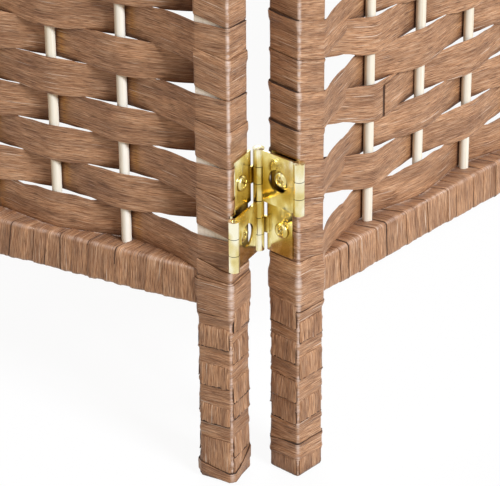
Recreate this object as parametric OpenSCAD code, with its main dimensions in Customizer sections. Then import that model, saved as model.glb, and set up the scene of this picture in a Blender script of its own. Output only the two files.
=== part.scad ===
// Folding screen of four panels. Each panel is a timber frame with upright
// dowels, woven across with flat ribbon and wrapped in the same ribbon.
// Double-action hinges join the panels, and the screen stands in a zigzag.
// X runs along the screen, -Y is its front and Z is up. The origin is the
// middle of its footprint, on the floor.

/* [Panel] */
// Width of one panel, over both wrapped stiles
panel_w = 400; // [320:1:600]
// Height of the screen
panel_h = 1700; // [1300:1:2000]
// Width of a wrapped stile, across the panel
stile_w = 19; // [17:0.5:26]
// Thickness of the wrapped frame, front to back
frame_t = 19; // [17:0.5:26]
// Height of the legs, from the floor to the bottom rail
leg_h = 98; // [60:1:180]
// Height of a wrapped rail
rail_h = 20.5; // [18:0.5:30]
// Angle between neighbouring panels as the screen stands
open_angle = 104.3; // [60:0.1:170]

/* [Weave] */
// Thickness of the ribbon
ribbon_t = 0.8; // [0.5:0.05:1.2]
// Width of the ribbon, which sets how many rows fit
ribbon_w = 18; // [12:0.5:30]
// Gap between one row and the next
row_gap = 0.35; // [0.2:0.05:1]
// Number of upright dowels in a panel
dowel_count = 8; // [4:1:14]
// Diameter of a dowel
dowel_d = 5; // [4:0.25:7]
// From the stile's inner side to the first dowel
dowel_edge = 44; // [25:1:60]
// Depth of the hole that takes a dowel's end in the rail
dowel_seat = 10; // [6:0.5:13]
// Gap between the ribbon and the dowel that it passes
weave_gap = 0.4; // [0.3:0.05:1]

/* [Joints of the frame] */
// Diameter of the pins that hold a rail in the stile
joint_pin_d = 4; // [3:0.5:5]
// Length of those pins
joint_pin_l = 34; // [28:1:60]
// Distance between the two pins of a joint
joint_pin_step = 9; // [7:0.5:12]
// Clearance all round a dowel or pin in its hole
wood_clear = 0.05; // [0.02:0.01:0.1]

/* [Hinge] */
// Number of hinges on each fold line
hinge_count = 3; // [2:1:4]
// Height of a hinge plate
hinge_h = 54; // [46:1:90]
// From a rail to the middle of the hinge next to it
hinge_inset = 32.5; // [30:0.5:120]
// How far the free edge of a plate's half stands in from the stile's face
plate_inset = 3; // [0:0.5:4]
// Thickness of the brass sheet
sheet_t = 1.2; // [0.8:0.1:1.4]
// Diameter of a hinge pin
hinge_pin_d = 3; // [2.5:0.1:3.6]
// Running clearance round a hinge pin
pin_clear = 0.05; // [0.03:0.01:0.1]
// Gap between a knuckle and the side of the stile
knuckle_stand = 0.9; // [0.8:0.1:2]
// Gap between a knuckle and the plane of the panel's face
knuckle_clear = 0.5; // [0.4:0.1:1.5]
// Gap between one knuckle and the next along a pin
knuckle_gap = 0.3; // [0.2:0.05:0.6]
// Gap between the upper and the lower half of a hinge
half_gap = 0.4; // [0.3:0.1:1]
// Diameter of the hole in a link leaf that clears a screw head
window_d = 12; // [10.5:0.5:14]
// Diameter of the head of a hinge pin
pin_head_d = 5.8; // [5.6:0.1:6.2]
// Height of the head of a hinge pin
pin_head_h = 1.3; // [0.8:0.1:1.6]
// Height of the upright rim of a pin head
pin_rim_h = 0.3; // [0.1:0.1:0.6]
// Depth of the lower pins below the top of their tube
pin_sink = 1; // [0.5:0.1:2]

/* [Screw] */
// Diameter of a screw head
screw_head_d = 8; // [6:0.5:9]
// Height of a screw head
screw_head_h = 1.9; // [1.4:0.1:2]
// Height of the upright rim of a screw head
screw_rim_h = 0.6; // [0.2:0.1:1]
// Diameter of a screw's shank
screw_d = 3; // [2.5:0.1:3.5]
// Length of a screw under its head
screw_l = 14; // [10:0.5:15]
// Length of a screw's pointed end
screw_tip_l = 3; // [2:0.5:4]
// Diameter of a screw's blunt point
screw_point_d = 0.6; // [0.4:0.1:1]
// Clearance all round a screw in its hole
screw_clear = 0.1; // [0.05:0.05:0.2]

/* [Hidden] */
$fn = 48;
panel_count = 4;
panels = [1:panel_count];
folds = [1:panel_count - 1];
sides = ["left", "right"];
panel_nodes = ["left_stile", "right_stile", "top_rail", "bottom_rail", "joint_pins",
    "dowels", "weave", "stile_wraps", "rail_wraps", "screws"];
fold_nodes = ["left_plates", "right_plates", "upper_leaves", "lower_leaves",
    "upper_pins", "lower_pins"];

timber_colour = [0.80, 0.66, 0.46];
dowel_colour = [0.90, 0.84, 0.72];
ribbon_colour = [0.62, 0.45, 0.34];
brass_colour = [0.86, 0.74, 0.36];

// Timber inside the wrapping
core_w = stile_w - 2 * ribbon_t;
core_t = frame_t - 2 * ribbon_t;
rail_core_h = rail_h - 2 * ribbon_t;
rail_core_x = ribbon_t + core_w;
rail_core_l = panel_w - 2 * rail_core_x;
top_rail_z = panel_h - rail_h;
rail_bottoms = [leg_h, top_rail_z];
// Open height between the rails, filled with rows of ribbon
field_z = leg_h + rail_h;
field_h = top_rail_z - field_z;
row_count = round(field_h / ribbon_w);
row_pitch = field_h / row_count;
// Places across the panel where a row bends: stile, dowels, stile
dowel_pitch = (panel_w - 2 * (stile_w + dowel_edge)) / (dowel_count - 1);
dowel_x = [for (k = [0:dowel_count - 1]) stile_w + dowel_edge + k * dowel_pitch];
bend_x = concat([stile_w], dowel_x, [panel_w - stile_w]);
// How far a row's middle stands off the panel's middle at a dowel and a stile
off_dowel = dowel_d / 2 + weave_gap + ribbon_t / 2;
off_stile = frame_t / 2 - ribbon_t / 2;
// Hinge
bore_r = hinge_pin_d / 2 + pin_clear;
knuckle_r = bore_r + sheet_t;
axis_out = knuckle_r + knuckle_stand;
axis_off = frame_t / 2 + knuckle_clear + knuckle_r;
half_h = (hinge_h - half_gap) / 2;
half_z = (half_gap + half_h) / 2;
knuckle_l = (half_h - 2 * knuckle_gap) / 3;
tab_root = 1;
leaf_clear = 0.35;
low_hinge_z = field_z + hinge_inset;
high_hinge_z = top_rail_z - hinge_inset;
hinge_step = (high_hinge_z - low_hinge_z) / (hinge_count - 1);
hinge_z = [for (h = [0:hinge_count - 1]) low_hinge_z + h * hinge_step];
screw_hole_r = screw_d / 2 + screw_clear;
// Places of the panels and the fold lines, seen from above
lean = (180 - open_angle) / 2;
fold_span = panel_w + 2 * axis_out;
fold_x = fold_span * cos(lean) + 2 * axis_off * sin(lean);
fold_y = fold_span * sin(lean) - 2 * axis_off * cos(lean);
fold_at = [[-fold_x, fold_y / 2], [0, -fold_y / 2], [fold_x, fold_y / 2]];
slit = 0.01;

// A panel turns about the fold line on the side of the screen's middle
function is_right(p) = p > panel_count / 2;
function panel_turn(p) = p % 2 == 1 ? lean : -lean;
function panel_fold(p) = fold_at[is_right(p) ? p - 2 : p - 1];
function panel_axis(p) = [
    is_right(p) ? axis_out : -panel_w - axis_out,
    p == 1 || p == panel_count ? axis_off : -axis_off];
// The middle fold points to the front, the outer two to the back
function is_front_fold(f) = f == 2;
// The panel that carries a fold's upper or lower link leaves
function leaf_panel(f, upper) = is_front_fold(f) == upper ? f + 1 : f;
function leaf_x(f, upper) = leaf_panel(f, upper) == f ? panel_w + axis_out : -axis_out;
// Side of the panel on which a row passes bend k: -1 is its front
function row_side(p, row, k) = (row + k + p + 1) % 2 == 0 ? -1 : 1;
function row_off(k) = k == 0 || k == dowel_count + 1 ? off_stile : off_dowel;

module at_panel(p) {
    translate(concat(panel_fold(p), [0]))
        rotate([0, 0, panel_turn(p)])
            translate(concat(panel_axis(p), [0]))
                children();
}

// Mirrors a left-hand piece of the panel to its right-hand side
module on_side(side) {
    if (side == "right") translate([panel_w, 0, 0]) mirror([1, 0, 0]) children();
    else children();
}

// A bar that lies across the panel's middle plane
module bar(x, z, w, t, h) {
    translate([x, -t / 2, z]) cube([w, t, h]);
}

// True where this side of the panel carries hinges
function has_hinges(p, side) = side == "left" ? p > 1 : p < panel_count;

module screw_holes(p, side, r, depth) {
    if (has_hinges(p, side))
        for (z = hinge_z, s = [-1, 1])
            translate([-slit, 0, z + s * half_z])
                rotate([0, 90, 0]) cylinder(h = depth + slit, r = r);
}

module joint_pin_rows() {
    for (z = rail_bottoms, s = [-1, 1])
        translate([0, 0, z + rail_h / 2 + s * joint_pin_step / 2]) children();
}

module stile(p, side) {
    color(timber_colour)
        on_side(side)
            difference() {
                bar(ribbon_t, ribbon_t, core_w, core_t, panel_h - 2 * ribbon_t);
                screw_holes(p, side, screw_hole_r, screw_l);
                joint_pin_rows()
                    rotate([0, 90, 0])
                        cylinder(h = stile_w, r = joint_pin_d / 2 + wood_clear);
            }
}

module dowel_holes(z, h) {
    for (x = dowel_x)
        translate([x, 0, z]) cylinder(h = h, r = dowel_d / 2 + wood_clear);
}

// Both rails take the dowels' ends, the top rail from below
module rail(z, holes_z) {
    color(timber_colour)
        difference() {
            bar(rail_core_x, z + ribbon_t, rail_core_l, core_t, rail_core_h);
            dowel_holes(holes_z, dowel_seat + wood_clear + slit);
            for (side = sides)
                on_side(side)
                    joint_pin_rows()
                        rotate([0, 90, 0])
                            cylinder(h = ribbon_t + joint_pin_l + wood_clear,
                                r = joint_pin_d / 2 + wood_clear);
        }
}

module bottom_rail() {
    rail(leg_h, field_z - ribbon_t - dowel_seat - wood_clear);
}

module top_rail() {
    rail(top_rail_z, top_rail_z + ribbon_t - slit);
}

module joint_pins() {
    color(dowel_colour)
        for (side = sides)
            on_side(side)
                joint_pin_rows()
                    translate([ribbon_t, 0, 0])
                        rotate([0, 90, 0]) cylinder(h = joint_pin_l, r = joint_pin_d / 2);
}

module dowels() {
    low = field_z - ribbon_t - dowel_seat;
    high = top_rail_z + ribbon_t + dowel_seat;
    color(dowel_colour)
        for (x = dowel_x)
            translate([x, 0, low]) cylinder(h = high - low, r = dowel_d / 2);
}

// One row bends at each dowel and ends flush with the stiles' wrapping
module woven_row(p, row) {
    count = dowel_count + 1;
    mid = [for (k = [0:count]) [bend_x[k], row_side(p, row, k) * row_off(k)]];
    front = [for (k = [0:count]) mid[k] - [0, ribbon_t / 2]];
    back = [for (k = [count:-1:0]) mid[k] + [0, ribbon_t / 2]];
    translate([0, 0, field_z + row * row_pitch + row_gap / 2])
        linear_extrude(row_pitch - row_gap) polygon(concat(front, back));
}

module weave(p) {
    color(ribbon_colour)
        for (row = [0:row_count - 1]) woven_row(p, row);
}

// A stile's wrapping is closed under the foot and over the top, and lets
// the rails and the hinge screws through
module stile_wraps(p) {
    color(ribbon_colour)
        for (side = sides)
            on_side(side)
                difference() {
                    bar(0, 0, stile_w, frame_t, panel_h);
                    bar(ribbon_t, ribbon_t, core_w, core_t, panel_h - 2 * ribbon_t);
                    for (z = rail_bottoms)
                        bar(stile_w / 2, z + ribbon_t, stile_w, core_t, rail_core_h);
                    screw_holes(p, side, screw_hole_r, stile_w / 2);
                }
}

// A rail's wrapping runs from stile to stile and lets the dowels through
module rail_wraps() {
    rail_l = panel_w - 2 * stile_w;
    color(ribbon_colour)
        difference() {
            for (z = rail_bottoms) bar(stile_w, z, rail_l, frame_t, rail_h);
            for (z = rail_bottoms)
                bar(0, z + ribbon_t, panel_w, core_t, rail_core_h);
            dowel_holes(field_z - rail_h / 2, field_h + rail_h);
        }
}

// A round head with an upright rim and a domed top
module dome(r, h, rim_h) {
    cap_h = h - rim_h;
    cap_r = (r * r + cap_h * cap_h) / (2 * cap_h);
    rotate_extrude()
        intersection() {
            square([r, h]);
            translate([0, h - cap_r]) circle(r = cap_r);
        }
}

// A screw whose head's underside is at the origin, with its head towards +X
module screw() {
    rotate([0, 90, 0]) {
        dome(screw_head_d / 2, screw_head_h, screw_rim_h);
        translate([0, 0, screw_tip_l - screw_l])
            cylinder(h = screw_l - screw_tip_l, r = screw_d / 2);
        translate([0, 0, -screw_l])
            cylinder(h = screw_tip_l, r1 = screw_point_d / 2, r2 = screw_d / 2);
    }
}

module screws(p) {
    color(brass_colour)
        for (side = sides)
            if (has_hinges(p, side))
                on_side(side)
                    for (z = hinge_z, s = [-1, 1])
                        translate([-sheet_t, 0, z + s * half_z])
                            mirror([1, 0, 0]) screw();
}

module at_hinges() {
    for (z = hinge_z) translate([0, 0, z]) children();
}

// The plate screwed to the left-hand panel's side, which is the plane x = 0.
// Its upper half is hinged at the back and its lower half at the front, and
// each half's other edge stands in. The right-hand panel has the same plate,
// turned round.
module plate() {
    tab_y = frame_t / 2 - tab_root;
    tab_in = axis_out - knuckle_r;
    color(brass_colour)
        difference() {
            union() {
                for (s = [-1, 1])
                    translate([0, s * plate_inset / 2, s * hinge_h / 4])
                        bar(0, -hinge_h / 4, sheet_t, frame_t - plate_inset, hinge_h / 2);
                for (s = [-1, 1])
                    translate([0, 0, s * half_z - knuckle_l / 2])
                        linear_extrude(knuckle_l) {
                            polygon([[0, s * tab_y], [sheet_t, s * tab_y],
                                [tab_in + sheet_t, s * axis_off], [tab_in, s * axis_off]]);
                            translate([axis_out, s * axis_off]) circle(r = knuckle_r);
                        }
            }
            for (s = [-1, 1]) {
                translate([axis_out, s * axis_off, -hinge_h])
                    cylinder(h = 2 * hinge_h, r = bore_r);
                translate([-sheet_t, 0, s * half_z])
                    rotate([0, 90, 0]) cylinder(h = 3 * sheet_t, r = screw_hole_r);
            }
        }
}

module left_plates(f) {
    at_panel(f) translate([panel_w, 0, 0]) at_hinges() plate();
}

module right_plates(f) {
    at_panel(f + 1) rotate([0, 0, 180]) at_hinges() plate();
}

// The link leaf between two axes, with a knuckle at each corner and a hole
// that clears the screw heads
module leaf() {
    cut_y = axis_off - knuckle_r - leaf_clear;
    cut_h = knuckle_l + 2 * knuckle_gap;
    color(brass_colour)
        difference() {
            union() {
                bar(-sheet_t / 2, -half_h / 2, sheet_t, 2 * axis_off, half_h);
                for (s = [-1, 1])
                    translate([0, s * axis_off, -half_h / 2])
                        cylinder(h = half_h, r = knuckle_r);
            }
            for (s = [-1, 1]) {
                translate([0, s * axis_off, -half_h])
                    cylinder(h = 2 * half_h, r = bore_r);
                translate([0, s * (cut_y + axis_off), 0])
                    cube([3 * knuckle_r, 2 * axis_off, cut_h], center = true);
            }
            translate([-sheet_t, 0, 0])
                rotate([0, 90, 0]) cylinder(h = 2 * sheet_t, r = window_d / 2);
        }
}

// Places what hangs on a fold's upper or lower link leaves, at each hinge
module at_leaves(f, upper) {
    at_panel(leaf_panel(f, upper))
        translate([leaf_x(f, upper), 0, upper ? half_z : -half_z])
            at_hinges() children();
}

module leaves(f, upper) {
    at_leaves(f, upper) leaf();
}

// An upper pin has a domed head, and a lower one ends inside its tube
module hinge_pin(upper) {
    top = upper ? half_h / 2 : half_h / 2 - pin_sink;
    color(brass_colour) {
        translate([0, 0, -half_h / 2]) cylinder(h = top + half_h / 2, r = hinge_pin_d / 2);
        if (upper)
            translate([0, 0, top]) dome(pin_head_d / 2, pin_head_h, pin_rim_h);
    }
}

module pins(f, upper) {
    at_leaves(f, upper)
        for (s = [-1, 1])
            translate([0, s * axis_off, 0]) hinge_pin(upper);
}

module panel_node(p, name) {
    at_panel(p) {
        if (name == "left_stile") stile(p, "left");
        if (name == "right_stile") stile(p, "right");
        if (name == "top_rail") top_rail();
        if (name == "bottom_rail") bottom_rail();
        if (name == "joint_pins") joint_pins();
        if (name == "dowels") dowels();
        if (name == "weave") weave(p);
        if (name == "stile_wraps") stile_wraps(p);
        if (name == "rail_wraps") rail_wraps();
        if (name == "screws") screws(p);
    }
}

module fold_node(f, name) {
    if (name == "left_plates") left_plates(f);
    if (name == "right_plates") right_plates(f);
    if (name == "upper_leaves") leaves(f, true);
    if (name == "lower_leaves") leaves(f, false);
    if (name == "upper_pins") pins(f, true);
    if (name == "lower_pins") pins(f, false);
}

for (p = panels, n = panel_nodes)
    panel_node(p, n);
for (f = folds, n = fold_nodes)
    fold_node(f, n);
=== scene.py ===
# Looks of the folding screen. A panel's pieces are worked out in millimetres
# in the panel's own frame (x across it, y from front to back, z up) and are
# placed in the row frame, in metres, when their mesh is made.
from math import asin, cos, pi, radians, sin, sqrt

import bpy
import numpy as np
from mathutils import Matrix, Vector


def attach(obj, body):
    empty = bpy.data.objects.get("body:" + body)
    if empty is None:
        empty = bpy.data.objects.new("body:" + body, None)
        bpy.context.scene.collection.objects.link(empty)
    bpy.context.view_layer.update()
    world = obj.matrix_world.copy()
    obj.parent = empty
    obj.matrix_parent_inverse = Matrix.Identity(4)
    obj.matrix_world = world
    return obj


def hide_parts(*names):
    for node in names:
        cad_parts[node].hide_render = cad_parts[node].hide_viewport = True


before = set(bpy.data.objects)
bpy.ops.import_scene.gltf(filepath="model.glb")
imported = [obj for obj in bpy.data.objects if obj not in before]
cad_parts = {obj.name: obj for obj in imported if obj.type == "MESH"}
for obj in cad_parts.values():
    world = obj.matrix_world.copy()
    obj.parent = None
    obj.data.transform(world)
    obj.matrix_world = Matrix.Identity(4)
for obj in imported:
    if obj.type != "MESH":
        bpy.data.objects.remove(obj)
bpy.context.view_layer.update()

MM = 0.001

# Sizes that the CAD source names
PANEL_W, PANEL_H = 400.0, 1700.0
STILE_W, CORE = 19.0, 17.4
LEG_H, RAIL_H = 98.0, 20.5
ROWS = 87
DOWELS, DOWEL_EDGE = 8, 63.0
LEAN = radians(37.85)
AXIS_OUT, AXIS_OFF = 3.65, 12.75
HINGE_Z = [151.0, 899.0, 1647.0]
SCREW_STEP = 13.6
SHEET_T = 1.2

# What follows from them
FIELD_Z, TOP_RAIL_Z = LEG_H + RAIL_H, PANEL_H - RAIL_H
ROW_STEP = (TOP_RAIL_Z - FIELD_Z) / ROWS
DOWEL_X = [DOWEL_EDGE + k * (PANEL_W - 2 * DOWEL_EDGE) / (DOWELS - 1) for k in range(DOWELS)]
STILE_X = {"left": STILE_W / 2, "right": PANEL_W - STILE_W / 2}
SPAN = PANEL_W + 2 * AXIS_OUT
FOLD_X = SPAN * cos(LEAN) + 2 * AXIS_OFF * sin(LEAN)
FOLD_Y = (SPAN * sin(LEAN) - 2 * AXIS_OFF * cos(LEAN)) / 2
FOLDS = [(-FOLD_X, FOLD_Y), (0.0, -FOLD_Y), (FOLD_X, FOLD_Y)]

PANELS = (1, 2, 3, 4)
MIRRORED = (1, 3)       # panels whose own front and back are swapped
PHOTO_PANELS = (2, 3)   # the two at the middle fold, which the photo shows
RIBBON_T = 0.55         # the ribbon is thinner than its CAD strip, as creases add
WEAVE_OFF = 3.05        # from a panel's middle to the ribbon's, at a dowel
SHARP = radians(50)   # edges with a larger angle are shaded or bevelled as edges
RIGHT, BACK, UP = np.eye(3)


def place(panel, co):
    """Points of a panel's own frame, in millimetres, to the row frame in metres."""
    fold = FOLDS[panel - 1 if panel <= 2 else panel - 2]
    turn = LEAN if panel % 2 == 1 else -LEAN
    x = co[..., 0] + (-PANEL_W - AXIS_OUT if panel <= 2 else AXIS_OUT)
    y = co[..., 1] + (AXIS_OFF if panel in (1, 4) else -AXIS_OFF)
    c, s = cos(turn), sin(turn)
    out = np.empty_like(co)
    out[..., 0] = (fold[0] + x * c - y * s) * MM
    out[..., 1] = (fold[1] + x * s + y * c) * MM
    out[..., 2] = co[..., 2] * MM
    return out


def drift(rng, s, length, size):
    """Smooth random drift along s, with about `length` from knot to knot."""
    n = int((s[-1] - s[0]) / length) + 4
    knots = rng.normal(0, size, n)
    at = (s - s[0]) / length + rng.random()
    i = at.astype(int)
    f = at - i
    f = f * f * (3 - 2 * f)
    return knots[i] * (1 - f) + knots[i + 1] * f


def ease(a, b, v):
    """0 below a, 1 above b, smooth between."""
    t = np.clip((v - a) / (b - a), 0, 1)
    return t * t * (3 - 2 * t)


def add_object(name, data):
    obj = bpy.data.objects.new(name, data)
    bpy.context.scene.collection.objects.link(obj)
    return obj


# ---------- materials


class Graph:
    """A node tree, with short ways to add to it."""

    def __init__(self, tree):
        self.nodes, self.links = tree.nodes, tree.links

    def feed(self, node, inputs):
        """Links or sets inputs of a node, which are given by name or number."""
        for key, value in inputs.items():
            if isinstance(value, bpy.types.NodeSocket):
                self.links.new(value, node.inputs[key])
            else:
                node.inputs[key].default_value = value

    def add(self, kind, inputs, **settings):
        node = self.nodes.new(kind)
        for key, value in settings.items():
            setattr(node, key, value)
        self.feed(node, inputs)
        return node

    def object_place(self):
        return self.add("ShaderNodeTexCoord", {}).outputs["Object"]

    def noise(self, source, scale, detail, rough):
        """Noise on coordinates that are first stretched by `scale`."""
        mapping = self.add("ShaderNodeMapping", {"Vector": source, "Scale": scale})
        tex = self.add("ShaderNodeTexNoise", {
            "Vector": mapping.outputs["Vector"], "Scale": 1.0, "Detail": detail,
            "Roughness": rough})
        return tex.outputs["Fac"]

    def ramp(self, source, *stops):
        """A ramp through stops of (place, colour or level of grey)."""
        node = self.add("ShaderNodeValToRGB", {"Fac": source})
        while len(node.color_ramp.elements) < len(stops):
            node.color_ramp.elements.new(0.5)
        for element, (pos, colour) in zip(node.color_ramp.elements, stops):
            element.position = pos
            element.color = (*(colour if isinstance(colour, tuple) else (colour,) * 3), 1)
        return node.outputs["Color"]

    def mix(self, kind, fac, a, b):
        if isinstance(b, tuple):
            b = (*b, 1)
        node = self.add("ShaderNodeMix", {"Factor": fac, "A": a, "B": b},
                        data_type="RGBA", blend_type=kind)
        return node.outputs["Result"]

    def maths(self, kind, a, b):
        return self.add("ShaderNodeMath", {0: a, 1: b}, operation=kind).outputs[0]

    def bump(self, source, distance, strength, **inputs):
        return self.add("ShaderNodeBump", {"Height": source, "Distance": distance,
                                           "Strength": strength, **inputs}).outputs["Normal"]

    def paint_shade_near(self, colour, reach, *stops):
        """Paints shade into a colour where other surfaces are close."""
        near = self.add("ShaderNodeAmbientOcclusion", {"Distance": reach}, samples=6)
        return self.mix("MULTIPLY", 1.0, colour, self.ramp(near.outputs["AO"], *stops))

    def seen_ray(self):
        """1 for camera, glossy and transmission rays, 0 for the light on the object."""
        path = self.add("ShaderNodeLightPath", {}).outputs
        total = path["Is Camera Ray"]
        for key in ("Is Glossy Ray", "Is Transmission Ray"):
            total = self.maths("MAXIMUM", total, path[key])
        return total


def new_material(name):
    mat = bpy.data.materials.new(name)
    mat.use_nodes = True
    graph = Graph(mat.node_tree)
    return mat, graph, graph.nodes["Principled BSDF"]


def ribbon_material():
    """Twisted-paper ribbon: fibres and streaks along it, dark slits, pale scratches and
    slow tone, a painted highlight along the corners of each strip, painted warm light
    beside dowels, and painted shade where other surfaces are close."""
    mat, g, bsdf = new_material("ribbon_paper")
    uv = g.add("ShaderNodeUVMap", {}, uv_map="along").outputs["UV"]
    fine = g.noise(uv, (3400, 170, 1), 3.0, 0.65)
    streak = g.noise(uv, (2100, 72, 1), 3.0, 0.6)
    slit = g.noise(uv, (2500, 100, 7), 1.0, 0.5)
    tone = g.noise(uv, (170, 22, 1), 2.0, 0.5)
    patchy = g.noise(uv, (300, 240, 3), 3.0, 0.7)
    scratch = g.noise(uv, (1500, 27, 19), 1.0, 0.5)
    shade = g.add("ShaderNodeUVMap", {}, uv_map="shade").outputs["UV"]
    highlight_mask, warm, _ = g.add("ShaderNodeSeparateXYZ", {"Vector": shade}).outputs

    colour = g.ramp(streak, (0.31, (0.200, 0.080, 0.031)), (0.43, (0.385, 0.188, 0.090)),
                    (0.55, (0.490, 0.270, 0.146)), (0.68, (0.610, 0.392, 0.256)))
    # the last layer is painted warm light beside dowels
    for layer in (
            g.ramp(fine, (0.34, (0.42, 0.37, 0.32)), (0.46, (0.90, 0.88, 0.86)),
                   (0.57, 1.04), (0.70, 1.38)),
            g.ramp(tone, (0.36, (0.74, 0.70, 0.67)), (0.5, 1.0), (0.64, (1.18, 1.19, 1.19))),
            g.ramp(slit, (0.60, 1.0), (0.68, (0.45, 0.38, 0.33))),
            g.ramp(warm, (0.0, 1.0), (1.0, (0.97, 0.80, 0.30)))):
        colour = g.mix("MULTIPLY", 1.0, colour, layer)
    # a painted highlight: pale patches along the corners that the strip goes round
    highlight_fac = g.maths("MULTIPLY", highlight_mask, g.ramp(patchy, (0.40, 0.10), (0.58, 0.95)))
    scratched = g.ramp(scratch, (0.715, 0), (0.745, 0.85))
    colour = g.mix("MIX", highlight_fac, colour, (0.76, 0.60, 0.52))
    colour = g.mix("MIX", scratched, colour, (0.86, 0.72, 0.60))
    # painted shade, darker in recesses and wherever other surfaces are close
    colour = g.paint_shade_near(colour, 0.018, (0.15, (0.17, 0.09, 0.045)), (0.45, (0.66, 0.57, 0.47)),
                       (0.76, 1.0))
    g.feed(bsdf, {
        "Base Color": colour,
        "Roughness": g.ramp(fine, (0.35, 0.58), (0.65, 0.38)),
        "Normal": g.bump(fine, 0.00025, 0.6, Normal=g.bump(streak, 0.0006, 0.5)),
        "Specular IOR Level": 0.45, "Sheen Weight": 0.12, "Sheen Roughness": 0.4})
    return mat


def painted_shade_material():
    """Near-black paper for painted shade, at the bottom of the cracks between turns of ribbon and
    along proud edges.
    """
    mat, g, bsdf = new_material("ribbon_painted_shade")
    grain = g.noise(g.object_place(), (500, 500, 60), 3.0, 0.6)
    colour = g.ramp(grain, (0.3, (0.035, 0.016, 0.009)), (0.7, (0.075, 0.036, 0.020)))
    g.feed(bsdf, {"Base Color": colour, "Roughness": 0.8})
    return mat


def wood_material(name, light, mid, dark):
    """Pale plain wood with its grain upright."""
    mat, g, bsdf = new_material(name)
    at = g.object_place()
    grain = g.noise(at, (900, 900, 14), 4.0, 0.6)
    tone = g.noise(at, (60, 60, 5), 2.0, 0.5)
    colour = g.ramp(grain, (0.25, dark), (0.45, mid), (0.7, light))
    shade = g.ramp(tone, (0.3, (0.90, 0.87, 0.80)), (0.6, 1.0))
    g.feed(bsdf, {"Base Color": g.mix("MULTIPLY", 1.0, colour, shade), "Roughness": 0.55,
                  "Normal": g.bump(grain, 0.0002, 0.4)})
    return mat


def brass_material():
    """Polished brass with a faint cloud of tone, partly a painted highlight at its palest, gloss
    and waviness, and painted shade where other surfaces are close.
    """
    mat, g, bsdf = new_material("brass_polished")
    at = g.object_place()
    cloud = g.noise(at, (90, 90, 60), 2.0, 0.5)
    fine = g.noise(at, (1800, 1800, 500), 2.0, 0.5)
    # a cloud of tone, whose near-white stop is a painted highlight
    colour = g.ramp(cloud, (0.37, (0.60, 0.44, 0.11)), (0.50, (0.82, 0.70, 0.33)),
                    (0.62, (0.98, 0.94, 0.72)))
    # painted shade in windows, round screw heads and between knuckles
    colour = g.paint_shade_near(colour, 0.005, (0.15, (0.22, 0.15, 0.06)), (0.50, (0.72, 0.66, 0.50)),
                       (0.85, 1.0))
    g.feed(bsdf, {
        "Base Color": colour, "Metallic": 1.0,
        "Roughness": g.ramp(cloud, (0.35, 0.24), (0.65, 0.13)),
        "Normal": g.bump(fine, 0.00002, 0.3, Normal=g.bump(cloud, 0.0015, 0.3))})
    return mat


RIBBON = ribbon_material()
PAINTED_SHADE = painted_shade_material()
TIMBER = wood_material("timber_pale", (0.95, 0.87, 0.77), (0.92, 0.81, 0.69), (0.78, 0.64, 0.49))
DOWEL = wood_material("dowel_pale", (0.93, 0.89, 0.80), (0.89, 0.83, 0.72), (0.78, 0.67, 0.50))
BRASS = brass_material()


# ---------- strips of ribbon


def column_set(count):
    """Places across a ribbon, from -1 to 1, with a close pair at each edge."""
    return np.concatenate([[-1, -0.94], np.linspace(-1, 1, count - 2)[1:-1], [0.94, 1]])


def anywhere(rng):
    """A place along the paper for a strip to start at, in metres."""
    return rng.uniform(0, 40)


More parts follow.
